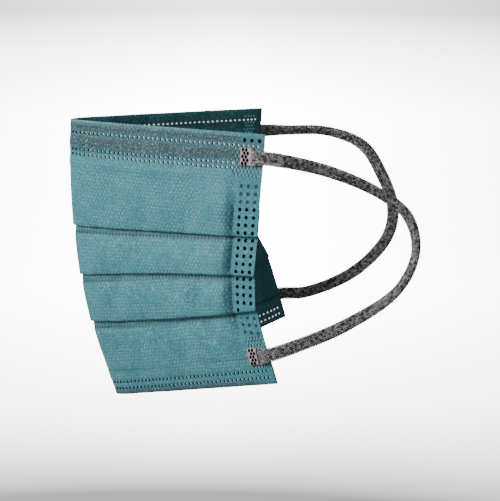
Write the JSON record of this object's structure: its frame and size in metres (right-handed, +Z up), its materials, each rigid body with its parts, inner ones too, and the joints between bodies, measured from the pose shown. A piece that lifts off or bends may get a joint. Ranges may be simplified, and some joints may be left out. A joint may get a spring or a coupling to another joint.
{
  "type": "surgical face mask",
  "caption": "Pleated non-woven face mask, folded round its centre crease as worn, with a wire in the top hem and knitted elastic ear loops welded to its corners.",
  "frame": {"origin": "on the inside of the centre fold at the top edge, where the bridge of the nose carries the mask", "axes": "+X from the centre fold back towards the ears, so the wearer faces -X; -Y to the wearer's left; +Z up"},
  "size_m": [0.1345, 0.1095, 0.1107],
  "materials": {
    "nonwoven": "spunbond polypropylene, point bonded, matt with a faint sheen",
    "wire": "white plastic over a soft wire",
    "elastic": "knitted elastic, grey melange, matt"
  },
  "bodies": {
    "root": {"pleated_panel": "nonwoven", "nose_wire": "wire", "ear_loop_left": "elastic", "ear_loop_right": "elastic"}
  },
  "joints": []
}
